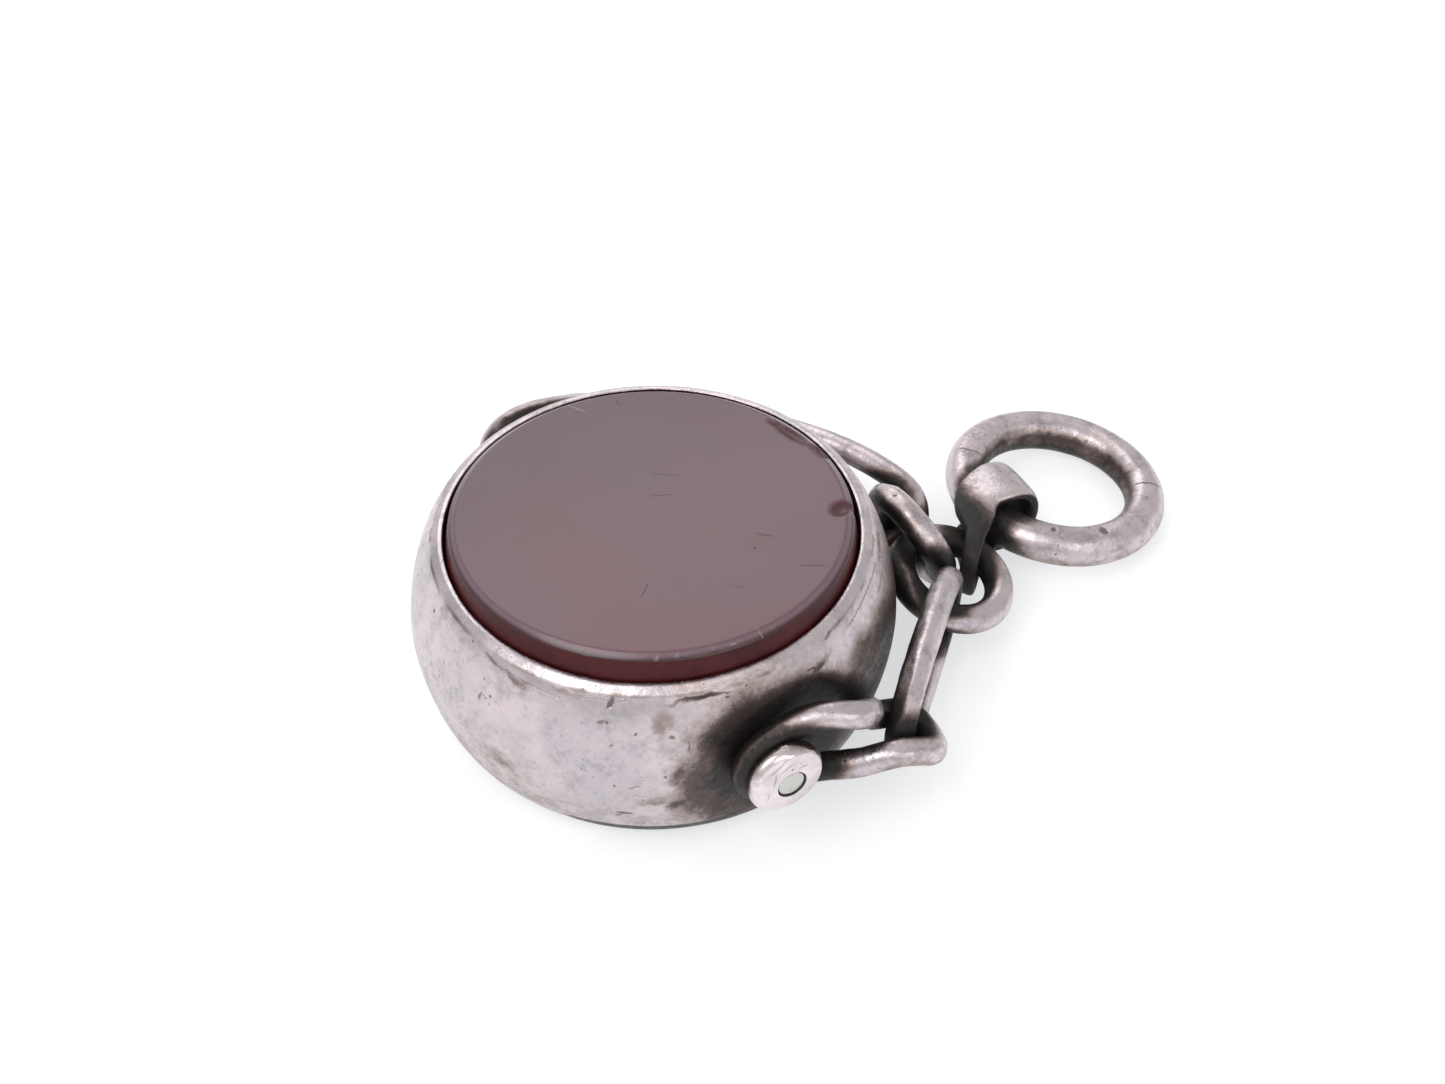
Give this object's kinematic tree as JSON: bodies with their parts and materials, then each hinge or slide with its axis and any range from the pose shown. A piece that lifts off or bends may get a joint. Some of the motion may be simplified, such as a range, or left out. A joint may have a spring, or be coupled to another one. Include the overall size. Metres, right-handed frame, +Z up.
{
  "type": "spinner pendant",
  "caption": "Round silver drum with a stone face on each side, which turns on a pin held by a bow of chain links, a strap bail and a ring to hang it by.",
  "frame": {"origin": "middle of the flat face of the bottom stone, on the surface that the pendant lies on", "axes": "+X from the drum to the top ring, +Y along the pin that the drum turns on, +Z up through the stones"},
  "size_m": [0.0445, 0.0313, 0.0125],
  "materials": {
    "drum_silver": "old silver, worn smooth, with dark tarnish by the pivots",
    "link_silver": "old silver wire, filed and worn, dark where the links meet",
    "red_stone": "polished brownish red agate with a few chips",
    "dark_stone": "polished dark green stone"
  },
  "bodies": {
    "drum": {"bezel_drum": "drum_silver", "top_stone": "red_stone", "bottom_stone": "dark_stone", "pivot_pin": "link_silver", "near_cap": "link_silver", "far_cap": "link_silver"},
    "bow": {"near_pivot_link": "link_silver", "near_long_link": "link_silver", "near_ring": "link_silver", "far_ring": "link_silver", "far_long_link": "link_silver", "far_pivot_link": "link_silver", "bail": "link_silver", "top_ring": "link_silver"}
  },
  "joints": [
    {"name": "drum_spin", "type": "hinge", "parent": "drum", "child": "bow", "pos_m": [0, 0, 0.00583], "axis": [0, 1, 0], "continuous": true}
  ]
}
